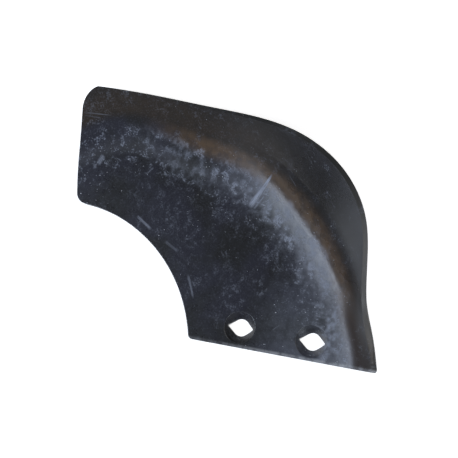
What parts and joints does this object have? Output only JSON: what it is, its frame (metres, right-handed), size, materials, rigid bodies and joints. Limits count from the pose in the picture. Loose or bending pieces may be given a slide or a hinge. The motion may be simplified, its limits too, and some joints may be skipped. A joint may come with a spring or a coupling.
{
  "type": "skimmer mouldboard",
  "caption": "Pressed steel skimmer mouldboard for a right-hand plough: flat wing, scooped lip along the shin and crown, relieved lower edge and countersunk plough bolt holes.",
  "frame": {"origin": "midway between the two bolt holes, on the flat back face of the wing", "axes": "+X along the line of the bolt holes towards the shin, +Y towards the crown, +Z out of the concave working face; the plate lies on its flat back"},
  "size_m": [0.2906, 0.1958, 0.0749],
  "materials": {
    "painted_steel": "satin"
  },
  "bodies": {
    "root": {"mouldboard": "painted_steel"}
  },
  "joints": []
}
